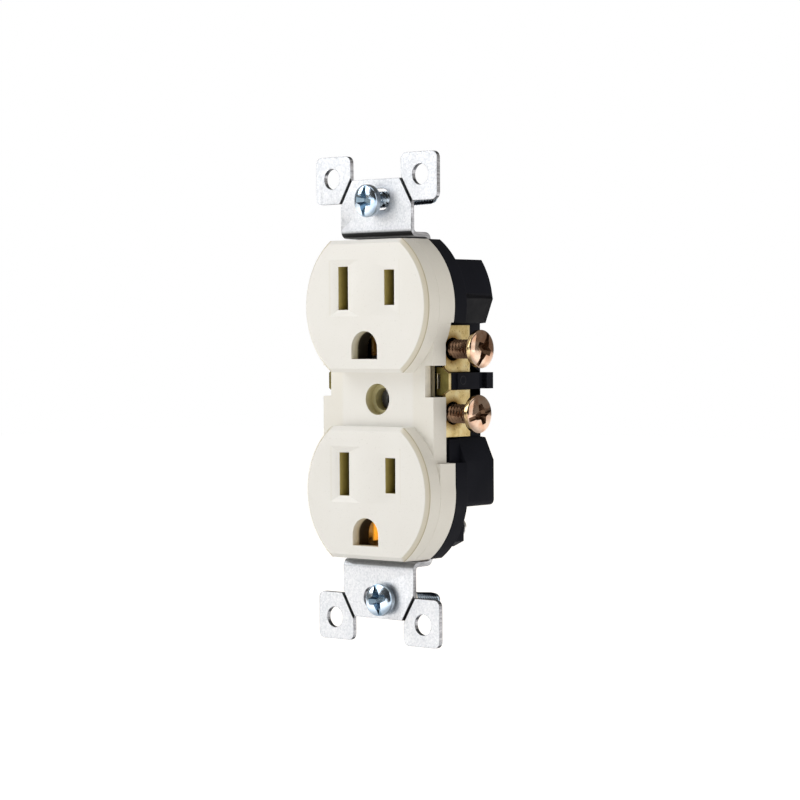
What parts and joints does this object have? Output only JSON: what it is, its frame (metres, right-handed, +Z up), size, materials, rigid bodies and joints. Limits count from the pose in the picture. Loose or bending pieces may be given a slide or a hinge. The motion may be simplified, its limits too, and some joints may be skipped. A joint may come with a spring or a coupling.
{
  "type": "duplex wall outlet",
  "caption": "Duplex electrical receptacle on a bent metal mounting strap, with a moulded front cover, rear body and side screw terminals.",
  "frame": {"origin": "centre of the mounting plane, which is the back face of the strap's plaster ears, midway between the two box screw slots", "axes": "+X right seen from the front, +Y into the wall, +Z up"},
  "size_m": [0.0434, 0.0238, 0.102],
  "materials": {
    "ivory_moulding": "semi-gloss moulded thermoset, pale ivory",
    "black_moulding": "satin moulded thermoset, blue-black",
    "zinc_plated_steel": "dull bright zinc plating on stamped steel",
    "blued_zinc": "shiny zinc plating with a blue passivate",
    "brass": "stamped sheet, bright with a little tarnish",
    "bronze_screw": "brass-plated steel with a bronze tone",
    "nickel_screw": "silver-coloured nickel plating",
    "green_screw": "green-dyed steel",
    "fibre_retainer": "pale pressed fibre"
  },
  "bodies": {
    "outlet": {"front_cover": "ivory_moulding", "rear_body": "black_moulding", "mounting_strap": "zinc_plated_steel", "hot_terminal_strip": "brass", "neutral_terminal_strip": "brass", "ground_contact_upper": "brass", "ground_contact_lower": "brass", "ground_rivet_upper": "zinc_plated_steel", "ground_rivet_lower": "zinc_plated_steel", "assembly_screw_top": "zinc_plated_steel", "assembly_screw_bottom_left": "zinc_plated_steel", "assembly_screw_bottom_right": "zinc_plated_steel"},
    "upper_retainer": {"screw_retainer_upper": "fibre_retainer"},
    "upper_box_screw": {"box_screw_upper": "blued_zinc"},
    "lower_retainer": {"screw_retainer_lower": "fibre_retainer"},
    "lower_box_screw": {"box_screw_lower": "blued_zinc"},
    "upper_hot_screw": {"hot_screw_upper": "bronze_screw"},
    "lower_hot_screw": {"hot_screw_lower": "bronze_screw"},
    "upper_neutral_screw": {"neutral_screw_upper": "nickel_screw"},
    "lower_neutral_screw": {"neutral_screw_lower": "nickel_screw"},
    "green_ground_screw": {"ground_screw": "green_screw"}
  },
  "joints": [
    {"name": "upper_box_screw_slide", "type": "slide", "parent": "outlet", "child": "upper_retainer", "axis": [0.0958, 0.9915, 0.0881], "range_m": [-0.005, 0.0013]},
    {"name": "upper_box_screw_turn", "type": "hinge", "parent": "upper_retainer", "child": "upper_box_screw", "pos_m": [-0.0001, -0.005, 0.04116], "axis": [0.0958, 0.9915, 0.0881], "continuous": true},
    {"name": "lower_box_screw_slide", "type": "slide", "parent": "outlet", "child": "lower_retainer", "axis": [-0.0564, 0.994, -0.094], "range_m": [-0.005, 0.0002]},
    {"name": "lower_box_screw_turn", "type": "hinge", "parent": "lower_retainer", "child": "lower_box_screw", "pos_m": [0.00192, -0.00385, -0.0416], "axis": [-0.0564, 0.994, -0.094], "continuous": true},
    {"name": "upper_hot_screw_travel", "type": "slide", "parent": "outlet", "child": "upper_hot_screw", "axis": [1, 0, 0], "range_m": [-0.0055, 0.0003]},
    {"name": "lower_hot_screw_travel", "type": "slide", "parent": "outlet", "child": "lower_hot_screw", "axis": [1, 0, 0], "range_m": [-0.0048, 0.001]},
    {"name": "upper_neutral_screw_travel", "type": "slide", "parent": "outlet", "child": "upper_neutral_screw", "axis": [-1, 0, 0], "range_m": [0, 0.0058]},
    {"name": "lower_neutral_screw_travel", "type": "slide", "parent": "outlet", "child": "lower_neutral_screw", "axis": [-1, 0, 0], "range_m": [0, 0.0058]},
    {"name": "ground_screw_travel", "type": "slide", "parent": "outlet", "child": "green_ground_screw", "axis": [-1, 0, 0], "range_m": [0, 0.0045]}
  ]
}
